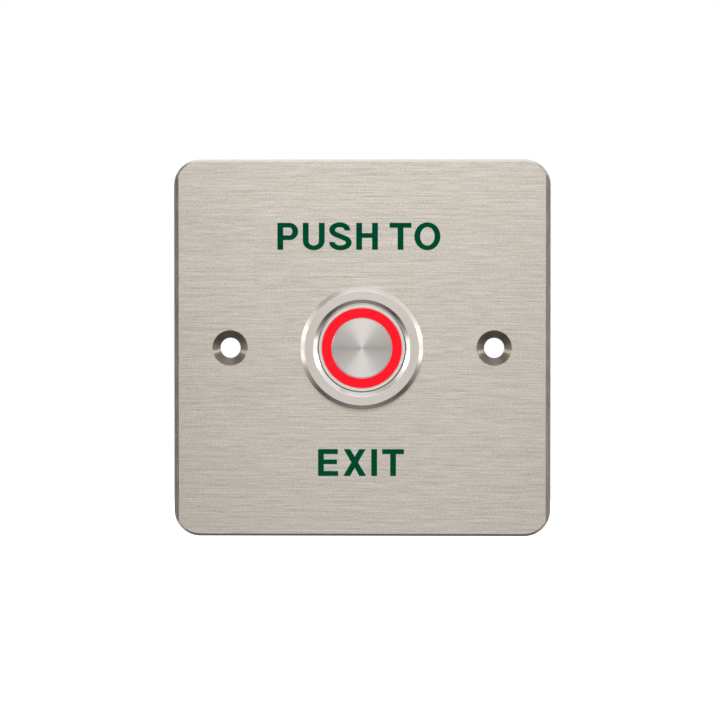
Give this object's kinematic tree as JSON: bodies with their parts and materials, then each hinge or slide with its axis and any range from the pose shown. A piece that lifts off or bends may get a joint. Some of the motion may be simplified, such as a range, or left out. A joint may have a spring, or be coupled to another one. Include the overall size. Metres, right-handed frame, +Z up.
{
  "type": "door exit button",
  "caption": "Square stainless wall plate with a ring-lit sprung push button that releases a door, with changeover contacts and solder terminals behind.",
  "frame": {"origin": "midway between the two wall screw holes, on the plate's back face, which lies on the wall", "axes": "+Z up, -Y out of the front towards the user, +X to the right seen from the front. The button is pressed along +Y"},
  "size_m": [0.086, 0.0377, 0.086],
  "materials": {
    "brushed_stainless": "brushed in straight horizontal lines",
    "turned_stainless": "fine turned, bevels polished",
    "spun_stainless": "circular turned face",
    "lit_red_lens": "translucent, lit red from behind",
    "black_rubber": "moulded",
    "spring_steel": "drawn wire and stamped strip",
    "white_acetal": "moulded",
    "contact_copper": "stamped copper alloy",
    "contact_silver": "silver rivet heads",
    "plated_brass": "silver-plated brass strip",
    "green_board": "glass-epoxy board with green mask",
    "led_chip": "clear epoxy on a white body",
    "resistor_body": "ceramic chip with black coat",
    "black_polyamide": "moulded, fine matt"
  },
  "bodies": {
    "wall_unit": {"bezel_barrel": "turned_stainless", "common_terminal": "plated_brass", "contact_housing": "black_polyamide", "face_plate": "brushed_stainless", "fixed_contacts": "contact_silver", "head_gasket": "black_rubber", "hex_nut": "turned_stainless", "lamp_board": "green_board", "lamp_minus_terminal": "plated_brass", "lamp_plus_terminal": "plated_brass", "leds": "led_chip", "lock_washer": "spring_steel", "normally_closed_terminal": "plated_brass", "normally_open_terminal": "plated_brass", "resistors": "resistor_body", "retaining_ring": "spring_steel", "return_spring": "spring_steel", "terminal_base": "black_polyamide", "wiper_seal": "black_rubber"},
    "button": {"button_rim": "turned_stainless", "centre_disc": "spun_stainless", "front_contact_spring": "spring_steel", "light_ring": "lit_red_lens", "plunger": "white_acetal", "rear_contact_spring": "spring_steel"},
    "bridge": {"bridge_contacts": "contact_silver", "contact_bridge": "contact_copper"}
  },
  "joints": [
    {"name": "button_press", "type": "slide", "parent": "wall_unit", "child": "button", "axis": [0, 1, 0], "range_m": [0, 0.0025], "stiffness_N_per_m": 800, "springref_m": -0.0025, "deforming": ["return_spring"]},
    {"name": "bridge_travel", "type": "slide", "parent": "wall_unit", "child": "bridge", "axis": [0, 1, 0], "range_m": [0, 0.0015], "deforming": ["front_contact_spring", "rear_contact_spring"]}
  ],
  "couplings": [
    {"joint": "bridge_travel", "follows": "button_press", "ratio": 0.6}
  ]
}
